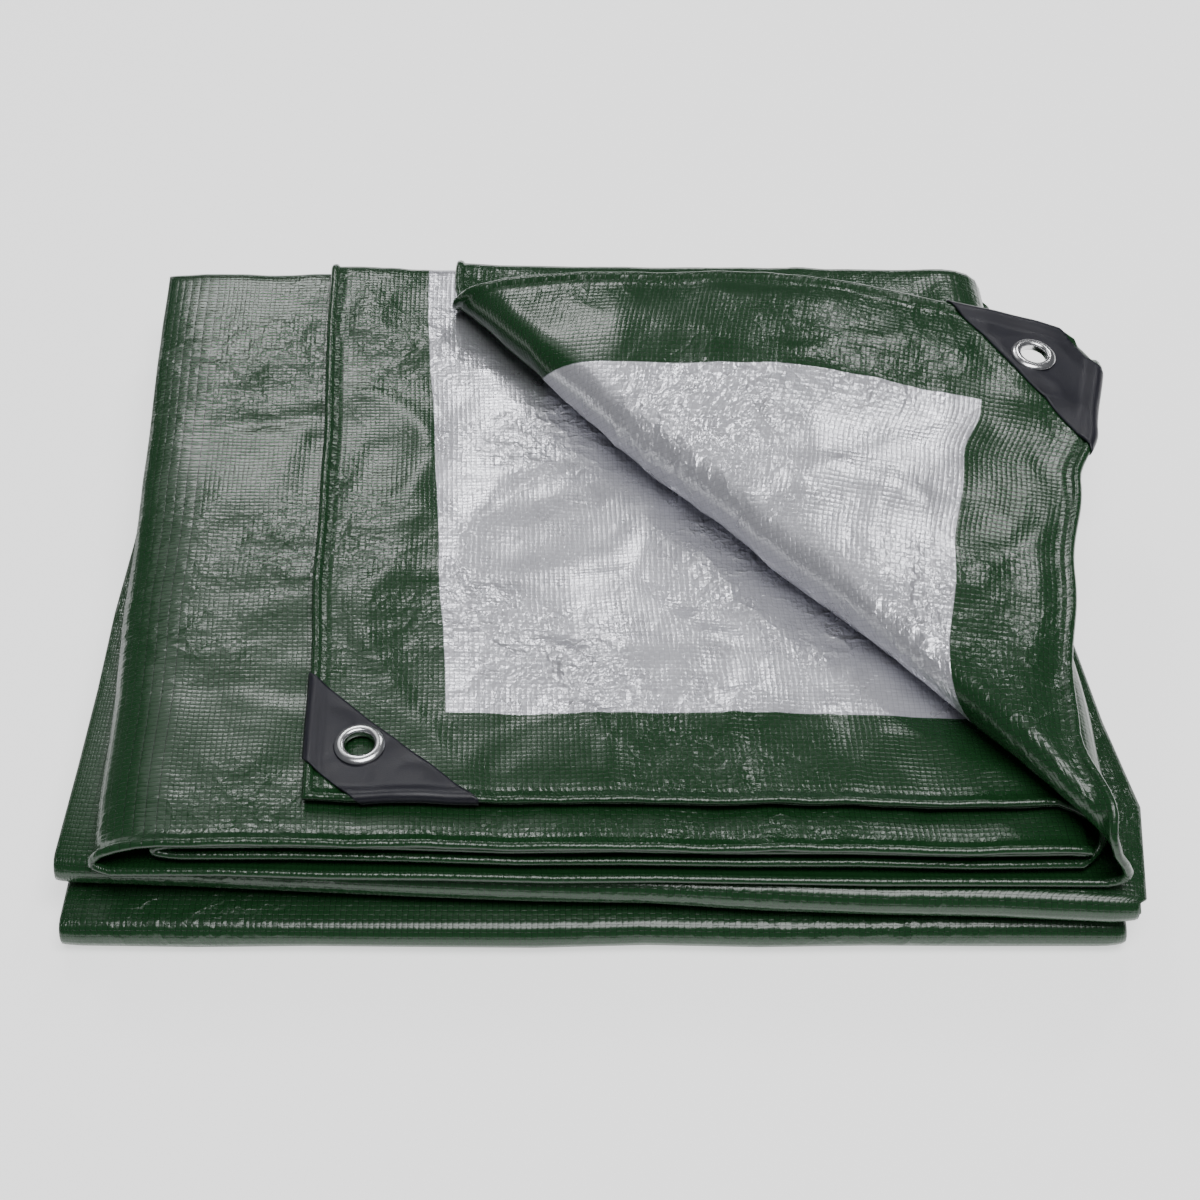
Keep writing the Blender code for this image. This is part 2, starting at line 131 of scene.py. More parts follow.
# How far inwards the flap's front hem lies, at shares of the way from the fold to its side hem.
FLAP_EDGE = (
    (0.00, 0.0000),
    (0.13, 0.0135),
    (0.22, 0.0140),
    (0.43, 0.0093),
    (0.64, 0.0020),
    (0.76, -0.0080),
    (1.00, -0.0170),
)


# %% [markdown]
# A fold takes some length of the sheet. Adding up the leaves and folds, and the panels and bends,
# gives the size of the flat sheet.

# %% Helpers
FOLD_PARTS = 16


def mix(a, b, t):
    return a + (b - a) * t


def smooth(t):
    t = min(max(t, 0.0), 1.0)
    return t * t * (3.0 - 2.0 * t)


def fold_point(fold, before, after, t):
    """X and level on a crosswise fold: a quarter ellipse out to the crease and one back."""
    crease, share = fold[1], fold[2]
    level = mix(before[1], after[1], share)
    if t < 0.5:
        angle = math.pi * t
        return mix(before[3], crease, math.sin(angle)), mix(before[1], level, 1 - math.cos(angle))
    angle = math.pi * (t - 0.5)
    return mix(crease, after[2], 1 - math.cos(angle)), mix(level, after[1], math.sin(angle))


def fold_length(fold, before, after):
    points = [fold_point(fold, before, after, i / FOLD_PARTS) for i in range(FOLD_PARTS + 1)]
    pairs = zip(points, points[1:])
    return sum(math.hypot(b[0] - a[0], (b[1] - a[1]) * FOLD_PITCH) for a, b in pairs)


def stretches_across():
    rows, u = [], 0.0
    for i, leaf in enumerate(LEAVES):
        rows.append(("leaf", i, u, abs(leaf[3] - leaf[2])))
        u += rows[-1][3]
        if i < len(CROSS_FOLDS):
            rows.append(("fold", i, u, fold_length(CROSS_FOLDS[i], leaf, LEAVES[i + 1])))
            u += rows[-1][3]
    return rows


def stretches_along():
    rows, v = [], 0.0
    for i in range(len(PANELS)):
        rows.append(("panel", i, v, PANEL_LENGTH))
        v += PANEL_LENGTH
        if i < len(PANELS) - 1:
            rows.append(("bend", i, v, BEND_LENGTH))
            v += BEND_LENGTH
    return rows


ACROSS, ALONG = stretches_across(), stretches_along()
SHEET_U = ACROSS[-1][2] + ACROSS[-1][3]
SHEET_V = ALONG[-1][2] + ALONG[-1][3]
FLAP_U = ACROSS[-1][2]
SHOWING = ("second", "third", "turned_back")
print(f"flat sheet {SHEET_U:.3f} x {SHEET_V:.3f} m")


def stretch_at(rows, place_on_sheet):
    for kind, index, start, length in rows:
        if place_on_sheet <= start + length:
            break
    return kind, index, min(max((place_on_sheet - start) / length, 0.0), 1.0)


# %% [markdown]
# ## From the flat sheet to the pack
# `pack_place` follows both sets of folds. `turned_back` then rolls the top leaf over a diagonal,
# as a hand does, and `folded_place` joins them.

# %% Across the strip
def cross_place(u):
    kind, i, t = stretch_at(ACROSS, u)
    leaf = LEAVES[i]
    if kind == "leaf":
        return mix(leaf[2], leaf[3], t), leaf[1], leaf[4]
    x, level = fold_point(CROSS_FOLDS[i], leaf, LEAVES[i + 1], t)
    return x, level, mix(leaf[4], LEAVES[i + 1][4], t)


def left_fold_level(u, level, back):
    """The outer left fold is pressed flat at the back, close under the top leaf."""
    kind, i, t = stretch_at(ACROSS, u)
    if kind != "fold" or CROSS_FOLDS[i][0] != "left_outer":
        return level
    name, crease, share = CROSS_FOLDS[i]
    pressed = (name, crease, mix(share, PRESSED_SHARE, smooth(back)))
    return fold_point(pressed, LEAVES[i], LEAVES[i + 1], t)[1]


# %% [markdown]
# Each panel has its own height, outline and swell, read from the tables.

# %% Heights and outlines
def height(panel, level, back):
    name, front_low, front_pitch, back_low, back_pitch = PANELS[panel]
    rank = level if panel % 2 == 0 else TOP_LEVEL - level
    return mix(front_low + front_pitch * rank, back_low + back_pitch * rank, back)


def edge_at(panel, back, share):
    x_left, x_right, y_left, y_right = OUTLINES[panel][back]
    return mix(x_left, x_right, share), mix(y_left, y_right, share)


def swell(panel, y, share):
    if panel not in (1, 2):
        return 0.0
    return SWELL * smooth(4.0 * share - 3.0) * math.exp(-(((y - SWELL_AT) / SWELL_LENGTH) ** 4))


# %% [markdown]
# The flap's two hems are not straight: the front one curves, and the side one bows and arches.

# %% Hems of the flap
def flap_edge(along):
    for (start, first), (end, last) in zip(FLAP_EDGE, FLAP_EDGE[1:]):
        if along <= end:
            break
    return mix(first, last, smooth((along - start) / (end - start)))


def hem_bow(back):
    return FLAP_HEM_BOW * math.sin(math.pi * min(back / FLAP_BOW_LENGTH, 1.0))


def hem_arch(u, v):
    """How far the flap's side hem rises from the pack."""
    along = math.sin(math.pi * min(v / FLAP_ARCH_LENGTH, 1.0))
    return FLAP_HEM_RISE * along * math.exp(-(((SHEET_U - u) / FLAP_ARCH_WIDTH) ** 2))


# %% [markdown]
# With these, a point of the flat sheet can be carried to its place in the pack.

# %% Fold the sheet
def pack_place(u, v):
    x_strip, level, edge = cross_place(u)
    kind, i, t = stretch_at(ALONG, v)
    if i == 0:
        level = left_fold_level(u, level, t if kind == "panel" else 1.0 - t)
    if kind == "panel":
        back = t if i % 2 == 0 else 1.0 - t
        if i == 0 and u > FLAP_U:
            along = (u - FLAP_U) / (SHEET_U - FLAP_U)
            x_strip -= (FLAP_LEAN * (1.0 - back) + hem_bow(back)) * along
            edge += flap_edge(along)
        share = x_strip / STRIP_WIDTH
        x_front, y_front = edge_at(i, 0, share)
        x_back, y_back = edge_at(i, 1, share)
        if i == 0:
            y_front += edge
        y = mix(y_front, y_back, back)
        return Vector((mix(x_front, x_back, back) + swell(i, y, share), y, height(i, level, back)))
    share = x_strip / STRIP_WIDTH
    at_back = 1 if i % 2 == 0 else 0
    x_upper, y_upper = edge_at(i, at_back, share)
    x_lower, y_lower = edge_at(i + 1, at_back, share)
    upper, lower = height(i, level, at_back), height(i + 1, level, at_back)
    radius = (upper - lower) / 2
    outwards = 1.0 if i % 2 == 0 else -1.0
    bulge = outwards * radius * BEND_ROUND[i] * math.sin(math.pi * t)
    y = mix(y_upper, y_lower, t) + bulge
    x = mix(x_upper, x_lower, smooth((t - BEND_SHIFT_FROM) / BEND_SHIFT_SHARE))
    return Vector((x, y, (upper + lower) / 2 + radius * math.cos(math.pi * t)))


def settled(point):
    waves = math.sin(9.0 * point.x + 1.0) * math.sin(8.0 * point.y + 0.4)
    middle = math.sin(math.pi * min(max(point.y / PANEL_LENGTH, 0.0), 1.0))
    rise = 1.0 + SAG * (SAG_WAVES * waves - SAG_MIDDLE * middle)
    point.z = FLOOR_SHEET + (point.z - FLOOR_SHEET) * rise
    return point


# %% [markdown]
# The roll comes last. Past half a turn the leaf runs back the way it came, upside down.

# %% Roll the corner back
def roll_radius(along):
    t = min(max((along - FLAP_FROM) / (FLAP_TO - FLAP_FROM), 0.0), 1.0)
    more = (FLAP_RADIUS - FLAP_RADIUS_ENDS) * math.sin(math.pi * t) ** FLAP_RADIUS_POWER
    return FLAP_RADIUS_ENDS + more


def turned_back(point):
    offset = Vector((point.x - FLAP_POINT.x, point.y - FLAP_POINT.y, 0.0))
    radius = roll_radius(offset.dot(FLAP_ALONG))
    beyond = offset.dot(FLAP_OUT) + math.pi * radius / 2
    if beyond <= 0.0:
        return point
    foot = point - FLAP_OUT * beyond
    angle = beyond / radius
    if angle < math.pi:
        rise = radius * (1.0 - math.cos(angle))
        return foot + FLAP_OUT * (radius * math.sin(angle)) + Vector((0.0, 0.0, rise))
    back = beyond - math.pi * radius
    rise = FLAP_REST + (2.0 * radius - FLAP_REST) * math.exp(-((back / FLAP_SETTLE) ** 2))
    return foot - FLAP_OUT * back + Vector((0.0, 0.0, max(min(rise, 2.0 * radius), FLAP_REST)))


def end_push(point):
    """The end of the roll is pushed along the hem."""
    away = math.hypot(point.x - FLAP_END.x, point.y - FLAP_END.y)
    return FLAP_END_MOVE * math.exp(-((away / FLAP_END_REACH) ** 2))


def folded_place(u, v):
    point = settled(pack_place(u, v))
    if v > PANEL_LENGTH:
        return point
    kind, i, t = stretch_at(ACROSS, u)
    if kind == "fold" and i == len(CROSS_FOLDS) - 1:
        return point.lerp(turned_back(point), smooth(2.0 * t - 1.0))
    if kind == "leaf" and i == len(LEAVES) - 1:
        turned = turned_back(point)
        push = end_push(turned) * smooth((PANEL_LENGTH - v) / FLAP_END_FADE)
        return turned + push + Vector((0.0, 0.0, hem_arch(u, v)))
    return point


# %% [markdown]
# ## Matching the frame
# The CAD model stands with the middle of its box over the origin. The same shift is found here
# by comparing the middle of a coarse copy of the sheet with the CAD cloth's box.

# %% Find the shift
SAMPLES_ACROSS, SAMPLES_TOP, SAMPLES_ALONG = 240, 40, 200
samples = []
for whole, count in ((PANEL_LENGTH, SAMPLES_TOP), (SHEET_V, SAMPLES_ALONG)):
    samples += [
        folded_place(SHEET_U * i / SAMPLES_ACROSS, whole * j / count)
        for i in range(SAMPLES_ACROSS + 1)
        for j in range(count + 1)
    ]
cloth_low, cloth_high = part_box("tarp_cloth")
shift = Vector((0.0, 0.0, 0.0))
for axis in (0, 1):
    low = min(point[axis] for point in samples)
    high = max(point[axis] for point in samples)
    shift[axis] = (cloth_low[axis] + cloth_high[axis]) / 2 - (low + high) / 2
print("shift", tuple(round(value, 4) for value in shift))


# %% [markdown]
# ## Creases and wrinkles
# Woven film is stiff: it keeps broad, soft waves with a few sharp creases. Noise gives the waves,
# and its ridges give the creases. They fade where leaves lie close together.

# %% Wrinkles
# The share of the wrinkles that each part of the sheet takes.
LOWER_PANEL_SHARE, HIDDEN_LEAF_SHARE, FOLD_SHARE = 0.12, 0.1, 0.15
THIRD_LEAF_SHARE, BACK_SHARE = 0.6, 0.3
BACK_FADE, FRONT_FADE, SIDE_FADE = 0.03, 0.02, 0.08


def ridges(x, y, seed):
    value = noise.noise(Vector((x, y, seed)))
    return 1.0 - min(abs(value) * 3.2, 1.0)


def wrinkle(u, v):
    broad = noise.noise(Vector((u * 9.0, v * 9.0, 2.0)))
    middle = noise.noise(Vector((u * 24.0 + v * 6.0, v * 20.0, 5.0)))
    sharp = ridges(u * 13.0 + v * 7.0, v * 11.0 - u * 4.0, 9.0)
    fine = ridges(u * 34.0 - v * 20.0, v * 30.0 + u * 12.0, 3.0)
    return 0.0012 * broad + 0.0011 * middle + 0.0015 * sharp**3 + 0.0006 * fine**3


def wrinkle_share(u, v):
    """Full on the leaves that show on top, and little inside the pack."""
    if v > PANEL_LENGTH + BEND_LENGTH:
        return LOWER_PANEL_SHARE
    kind, i, t = stretch_at(ACROSS, u)
    if kind == "fold":
        return FOLD_SHARE
    if LEAVES[i][0] not in SHOWING:
        return HIDDEN_LEAF_SHARE
    side = smooth(min(t, 1.0 - t) / SIDE_FADE)
    back = smooth((PANEL_LENGTH - v) / BACK_FADE)
    front = smooth(v / FRONT_FADE)
    full = THIRD_LEAF_SHARE if LEAVES[i][0] == "third" else 1.0
    return mix(FOLD_SHARE, full, side * front * mix(BACK_SHARE, 1.0, back))


# %% [markdown]
# ## Creases made by use
# A few creases on the real cloth are long and plain to see. Each has its ends, its height (below
# zero for a trough) and its width, on the leaf it crosses.

# %% Creases placed one by one
CREASES = (
    ("third", -0.226, 0.262, -0.118, 0.272, 0.0020, 0.006),
    ("third", -0.196, 0.285, -0.172, 0.312, -0.0016, 0.005),
    ("third", -0.150, 0.250, -0.115, 0.262, 0.0014, 0.005),
    ("third", -0.240, 0.180, -0.120, 0.172, 0.0010, 0.009),
    ("second", -0.060, 0.190, 0.020, 0.225, 0.0016, 0.007),
    ("second", -0.070, 0.150, 0.020, 0.170, -0.0014, 0.008),
    ("second", -0.055, 0.100, 0.090, 0.118, 0.0012, 0.007),
    ("second", 0.030, 0.060, 0.130, 0.095, 0.0012, 0.008),
    ("second", -0.110, 0.060, -0.080, 0.300, 0.0009, 0.010),
    ("turned_back", 0.020, 0.290, 0.150, 0.250, 0.0014, 0.008),
    ("turned_back", 0.060, 0.330, 0.170, 0.325, -0.0012, 0.007),
    ("turned_back", 0.090, 0.200, 0.180, 0.160, 0.0013, 0.008),
    ("turned_back", 0.185, 0.060, 0.215, 0.200, 0.0010, 0.009),
)


def crease_lift(leaf, point):
    total = 0.0
    for name, x0, y0, x1, y1, rise, width in CREASES:
        if name != leaf:
            continue
        length = math.hypot(x1 - x0, y1 - y0)
        along = ((point.x - x0) * (x1 - x0) + (point.y - y0) * (y1 - y0)) / length
        aside = ((point.x - x0) * (y1 - y0) - (point.y - y0) * (x1 - x0)) / length
        aside += 0.002 * noise.noise(Vector((along * 40.0, x0 * 50.0, 1.0)))
        ends = smooth(min(along, length - along) / (0.2 * length))
        total += rise * ends * math.exp(-((aside / width) ** 2))
    return total


# %% [markdown]
# `cloth_place` puts it all together: the bare tip of the flap's corner is tucked under its patch,
# the wrinkles lift the sheet off its folds, and slow waves run through the whole pack.

# %% The cloth's own place
TIP_CUT, TIP_RADIUS = 0.0205, 0.0032


def base_frame(u, v):
    """The sheet's place there, and the direction its silver side faces."""
    step = 0.0008
    clear_u = min(max(u, step), SHEET_U - step)
    clear_v = min(max(v, step), SHEET_V - step)
    here = folded_place(clear_u, clear_v)
    right, left = folded_place(clear_u + step, clear_v), folded_place(clear_u - step, clear_v)
    back, front = folded_place(clear_u, clear_v + step), folded_place(clear_u, clear_v - step)
    across, along = (right - left) / (2 * step), (back - front) / (2 * step)
    here = here + across * (u - clear_u) + along * (v - clear_v)
    return here, across.cross(along).normalized()


def pack_wave(point):
    """Dents that the leaves share, so that no leaf is pushed through the next."""
    x, y, z = point
    raised = min(z / 0.05, 1.0)
    rise = 0.0016 * noise.noise(Vector((x * 14.0, y * 9.0, 11.0)))
    rise += 0.0008 * noise.noise(Vector((x * 45.0, y * 30.0, 12.0)))
    back = 0.0016 * noise.noise(Vector((x * 18.0, z * 22.0, 13.0)))
    back += 0.0007 * noise.noise(Vector((x * 60.0, z * 90.0, 14.0)))
    aside = 0.0014 * noise.noise(Vector((y * 18.0, z * 25.0, 15.0)))
    return Vector((aside, back, rise * raised))


def tucked(u, v):
    """The bare tip of the flap's corner is tucked under, about the end of its patch."""
    beyond = (TIP_CUT - (SHEET_U - u) - v) / math.sqrt(2.0)
    if beyond <= 0.0:
        return u, v, 0.0
    angle = beyond / TIP_RADIUS
    if angle < math.pi:
        reach, drop = TIP_RADIUS * math.sin(angle), TIP_RADIUS * (1.0 - math.cos(angle))
    else:
        reach, drop = math.pi * TIP_RADIUS - beyond, 2.0 * TIP_RADIUS
    inwards = (beyond - reach) / math.sqrt(2.0)
    return u - inwards, v + inwards, -drop


def cloth_place(u, v):
    u, v, drop = tucked(u, v)
    here, up = base_frame(u, v)
    kind, i, t = stretch_at(ACROSS, u)
    share = wrinkle_share(u, v)
    lift = drop + wrinkle(u, v) * share
    if kind == "leaf" and v < PANEL_LENGTH:
        lift += crease_lift(LEAVES[i][0], here) * share
    return here + up * lift + pack_wave(here) + shift, up


# %% [markdown]
# ## The sheet
# It starts as one flat grid, with its rows and columns close together only where the cloth shows
# or bends. The flat place of each point is kept as its UV map, in metres, so the weave and the hem
# follow the cloth. Then every point moves to its place in the pack.

# %% Rows and columns
BEAD_THICK = 0.0046
BEAD_STEPS = (0.06, 0.22, 0.5, 0.78, 1.0)
BEAD_CLEAR = 0.0015
FINE, COARSE = 0.0046, 0.045
FOLD_STEPS, BEND_STEPS = 9, 8


def steps_between(start, length, pitch):
    count = max(1, round(length / pitch))
    return [start + length * i / count for i in range(count)]


def columns():
    values = []
    for kind, i, start, length in ACROSS:
        fine = kind == "leaf" and LEAVES[i][0] in SHOWING
        pitch = FINE if fine else COARSE if kind == "leaf" else length / FOLD_STEPS
        values += steps_between(start, length, pitch)
    return values + [SHEET_U]


def rows_along():
    values = []
    for kind, i, start, length in ALONG:
        pitch = length / BEND_STEPS if kind == "bend" else FINE if i == 0 else COARSE
        values += steps_between(start, length, pitch)
    return values + [SHEET_V]


def with_bead(values, whole):
    """Closer steps across the beads at both ends, in place of the even ones."""
    inner = [BEAD_THICK * share for share in BEAD_STEPS]
    near = inner + [whole - value for value in inner]
    low, high = BEAD_THICK + BEAD_CLEAR, whole - BEAD_THICK - BEAD_CLEAR
    kept = [value for value in values if value in (0.0, whole) or low < value < high]
    return sorted(kept + near)


us = with_bead(columns(), SHEET_U)
vs = with_bead(rows_along(), SHEET_V)
print(len(us), "columns,", len(vs), "rows")


# %% [markdown]
# A rope runs inside the hem, so the sheet is thicker there: `bead_share` gives a round bead along
# the outer edge. The holes for the eyelets are cut while the grid is still flat.

# %% Bead and holes
EYELET_FROM_SIDE, EYELET_FROM_FRONT = 0.024, 0.0325
CLOTH_HOLE = 0.0085
EYELETS = ((EYELET_FROM_SIDE, EYELET_FROM_FRONT), (SHEET_U - EYELET_FROM_SIDE, EYELET_FROM_FRONT))


def bead_share(u, v):
    """Half the bead's thickness at a place, over its greatest. It fades behind the top panel."""
    from_edge = min(u, SHEET_U - u, v)
    radius = BEAD_THICK / 2
    if from_edge >= 2 * radius:
        return 0.0
    uneven = 0.86 + 0.28 * noise.noise(Vector((u * 70.0, v * 70.0, 4.0)))
    fade = 1.0 - smooth((v - PANEL_LENGTH) / (0.5 * BEND_LENGTH))
    bead = math.sqrt(max(radius**2 - (radius - from_edge) ** 2, 0.0)) / radius
    return min(uneven, 1.0) * bead * fade


def new_object(name, bm, smooth_faces=True):
    mesh = bpy.data.meshes.new(name)
    for face in bm.faces:
        face.smooth = smooth_faces
    bm.to_mesh(mesh)
    bm.free()
    obj = bpy.data.objects.new(name, mesh)
    bpy.context.scene.collection.objects.link(obj)
    return obj


# %% Build the cloth
bm = bmesh.new()
bmesh.ops.create_grid(bm, x_segments=len(us) - 1, y_segments=len(vs) - 1, size=0.5)
for vert in bm.verts:
    i = round((vert.co.x + 0.5) * (len(us) - 1))
    j = round((vert.co.y + 0.5) * (len(vs) - 1))
    vert.co = Vector((us[i], vs[j], 0.0))
for u_hole, v_hole in EYELETS:
    centre = Vector((u_hole, v_hole, 0.0))
    inside = [f for f in bm.faces if (f.calc_center_median() - centre).length < CLOTH_HOLE]
    bmesh.ops.delete(bm, geom=inside, context="FACES")
    for vert in bm.verts:
        away = vert.co - centre
        if vert.is_boundary and away.length < 2 * CLOTH_HOLE:
            vert.co = centre + away.normalized() * CLOTH_HOLE
uv_layer = bm.loops.layers.uv.new("sheet")
for face in bm.faces:
    for loop in face.loops:
        loop[uv_layer].uv = (loop.vert.co.x, loop.vert.co.y)
deform = bm.verts.layers.deform.new()
for vert in bm.verts:
    u, v = vert.co.x, vert.co.y
    vert[deform][0] = max(bead_share(u, v), SHEET_THICK / BEAD_THICK)
    vert.co = cloth_place(u, v)[0]
tarp = new_object("tarpaulin", bm)
tarp.vertex_groups.new(name="thickness")
solidify = tarp.modifiers.new("thickness", "SOLIDIFY")
solidify.thickness = BEAD_THICK
solidify.offset = 0.0
solidify.vertex_group = "thickness"
solidify.thickness_vertex_group = 0.0
solidify.material_offset = 1
solidify.material_offset_rim = 1
print("tarpaulin", len(tarp.data.polygons), "faces before its thickness")


# %% [markdown]
# ## Corner patches and eyelets
# Each corner is stiffened by a black plastic patch, folded over both hems, with an aluminium
# eyelet pressed through. The patch is cut from a small grid and bent round the beads.

# %% Patches
PATCH_LEG, PATCH_CUT, PATCH_THICK = 0.075, 0.022, 0.0007
PATCH_WRAP, PATCH_HOLE, PATCH_GAP, PATCH_RAMP = 0.0052, 0.0080, 0.0002, 0.0065
PATCH_CELLS = 46


def beside_edge(d):
    """Distance inwards and lift over the bead, for a distance from the edge."""
    radius = BEAD_THICK / 2 + PATCH_THICK / 2 + PATCH_GAP
    centre = BEAD_THICK / 2
    if d < centre:
        angle = (centre - d) / radius
        return centre - radius * math.sin(angle), radius * math.cos(angle)
    flat = SHEET_THICK / 2 + PATCH_THICK / 2 + PATCH_GAP
    return d, mix(radius, flat, smooth((d - centre) / PATCH_RAMP))


def patch_place(d_side, d_front, from_right):
    side, side_lift = beside_edge(d_side)
    front, front_lift = beside_edge(d_front)
    here, up = cloth_place(SHEET_U - side if from_right else side, front)
    lift = side_lift if d_side < d_front else front_lift
    return here + up * lift


def make_patch(name, from_right):
    bm = bmesh.new()
    size = PATCH_LEG + PATCH_WRAP
    middle = size / 2 - PATCH_WRAP
    bmesh.ops.create_grid(bm, x_segments=PATCH_CELLS, y_segments=PATCH_CELLS, size=size / 2)
    bmesh.ops.translate(bm, verts=bm.verts, vec=(middle, middle, 0.0))
    diagonal = Vector((1.0, 1.0, 0.0)).normalized()
    for distance, side in ((PATCH_LEG, 1.0), (PATCH_CUT, -1.0)):
        everything = bm.verts[:] + bm.edges[:] + bm.faces[:]
        bmesh.ops.bisect_plane(
            bm,
            geom=everything,
            plane_co=(distance, 0.0, 0.0),
            plane_no=diagonal * side,
            clear_outer=True,
        )
    centre = Vector((EYELET_FROM_SIDE, EYELET_FROM_FRONT, 0.0))
    inside = [f for f in bm.faces if (f.calc_center_median() - centre).length < PATCH_HOLE]
    bmesh.ops.delete(bm, geom=inside, context="FACES")
    for vert in bm.verts:
        away = vert.co - centre
        if vert.is_boundary and away.length < 1.5 * PATCH_HOLE:
            vert.co = centre + away.normalized() * PATCH_HOLE
    uv_layer = bm.loops.layers.uv.new("sheet")
    for face in bm.faces:
        for loop in face.loops:
            loop[uv_layer].uv = (loop.vert.co.x, loop.vert.co.y)
    for vert in bm.verts:
        vert.co = patch_place(vert.co.x, vert.co.y, from_right)
    if from_right:
        bmesh.ops.reverse_faces(bm, faces=bm.faces[:])
    patch = new_object(name, bm)
    shell = patch.modifiers.new("thickness", "SOLIDIFY")
    shell.thickness = PATCH_THICK
    shell.offset = 0.0
    return patch


patches = [make_patch("patch_front", False), make_patch("patch_flap", True)]

# %% [markdown]
# An eyelet is a rolled ring: its section is spun about the middle of its hole.

# %% Eyelets
# Half of the section, as distance from the axis and height over the patch, in metres.
EYELET_SECTION = (
    (0.0065, -0.0016), (0.0065, 0.0006), (0.0068, 0.0014), (0.0076, 0.0019), (0.0088, 0.0020),
    (0.0102, 0.0016), (0.0111, 0.0009), (0.0115, 0.0002), (0.0110, 0.0001), (0.0076, 0.0004),
    (0.0072, -0.0010), (0.0076, -0.0019), (0.0110, -0.0019), (0.0115, -0.0021), (0.0108, -0.0027),
    (0.0080, -0.0029), (0.0068, -0.0025),
)
EYELET_GAP, EYELET_STEPS = 0.0003, 56


def make_eyelet(name, place_on_sheet):
    here, up = cloth_place(*place_on_sheet)
    here = here + up * (SHEET_THICK / 2 + PATCH_THICK + EYELET_GAP)
    bm = bmesh.new()
    ring = [bm.verts.new((distance, 0.0, rise)) for distance, rise in EYELET_SECTION]
    edges = [bm.edges.new((ring[i], ring[i - 1])) for i in range(len(ring))]
    bmesh.ops.spin(
        bm,
        geom=ring + edges,
        cent=(0, 0, 0),
        axis=(0, 0, 1),
        angle=2 * math.pi,
        steps=EYELET_STEPS,
        use_merge=True,
    )
    bmesh.ops.recalc_face_normals(bm, faces=bm.faces[:])
    turn = Vector((0.0, 0.0, 1.0)).rotation_difference(up)
    for vert in bm.verts:
        vert.co = here + turn @ vert.co
    return new_object(name, bm)


eyelets = [make_eyelet("ring_front", EYELETS[0]), make_eyelet("ring_flap", EYELETS[1])]


# %% [markdown]
# ## Materials
# The cloth is woven from flat plastic tapes and coated on both sides. The same nodes, built
# again for each face of the cloth, draw the weave from the flat sheet's UV map: tapes about two
# millimetres wide pass over and under each other, with a fine dark gap between.

# %% Node helpers
class Nodes:
    def __init__(self, tree):
        self.tree = tree

    def add(self, kind, **values):
        node = self.tree.nodes.new(kind)
        for key, value in values.items():
            setattr(node, key, value)
        return node

    def put(self, socket, value):
        if hasattr(value, "is_output"):
            self.tree.links.new(value, socket)
        else:
            socket.default_value = value

    def math(self, operation, a, b=0.0, clamp=False):
        node = self.add("ShaderNodeMath", operation=operation, use_clamp=clamp)
        self.put(node.inputs[0], a)
        self.put(node.inputs[1], b)
        return node.outputs[0]

    def blend(self, factor, a, b):
        node = self.add("ShaderNodeMix", data_type="RGBA")
        self.put(node.inputs[0], factor)
        self.put(node.inputs[6], a)
        self.put(node.inputs[7], b)
        return node.outputs[2]

    def ramp(self, value, low, high, to_low=0.0, to_high=1.0):
        node = self.add("ShaderNodeMapRange", interpolation_type="SMOOTHSTEP")
        self.put(node.inputs[0], value)
        for index, number in enumerate((low, high, to_low, to_high)):
            self.put(node.inputs[index + 1], number)
        return node.outputs[0]

    def noise(self, vector, scale, detail=3.0):
        node = self.add("ShaderNodeTexNoise")
        self.put(node.inputs["Vector"], vector)
        node.inputs["Scale"].default_value = scale
        node.inputs["Detail"].default_value = detail
        return node.outputs[0]


# %% Heights of the weave and the creases
TAPE = 0.0023


def tape(n, hump, crossing):
    """Height of a tape: nearly flat across, and highest where it passes over the other."""
    along = n.math("ADD", n.math("MULTIPLY", crossing, 0.5), 0.5)
    return n.math("MULTIPLY", n.math("POWER", hump, 0.35), along)


def weave(n, u, v):
    """Height of the weave, how far inside a tape a place is, and which tape is over."""
    a, b = n.math("MULTIPLY", u, 1 / TAPE), n.math("MULTIPLY", v, 1 / TAPE)
    parity = n.math("MODULO", n.math("ADD", n.math("FLOOR", a), n.math("FLOOR", b)), 2.0)
    parity = n.math("ABSOLUTE", parity)
    hump_a = n.math("SINE", n.math("MULTIPLY", n.math("FRACT", a), math.pi))
    hump_b = n.math("SINE", n.math("MULTIPLY", n.math("FRACT", b), math.pi))
    warp, weft = tape(n, hump_a, hump_b), tape(n, hump_b, hump_a)
    weft = n.math("MULTIPLY", weft, n.math("SUBTRACT", 1.0, parity))
    over = n.math("ADD", n.math("MULTIPLY", warp, parity), weft)
    inside = n.math("MULTIPLY", n.ramp(hump_a, 0.0, 0.24), n.ramp(hump_b, 0.0, 0.24))
    return over, inside, parity


def crinkles(n, flat):
    """Height of the film's small sharp creases, from the folds of noises, in patches."""
    total = None
    patches_of = n.ramp(n.noise(flat, 9.0, 2.0), 0.38, 0.66, 0.15, 1.0)
    for scale, share in ((22.0, 1.0), (55.0, 0.5), (120.0, 0.22)):
        value = n.math("SUBTRACT", n.noise(flat, scale, 3.0), 0.5)
        ridge = n.math("SUBTRACT", 1.0, n.math("MULTIPLY", n.math("ABSOLUTE", value), 9.0, True))
        ridge = n.math("MULTIPLY", n.math("POWER", ridge, 1.5), share)
        total = ridge if total is None else n.math("ADD", total, ridge)
    return n.math("MULTIPLY", total, patches_of)


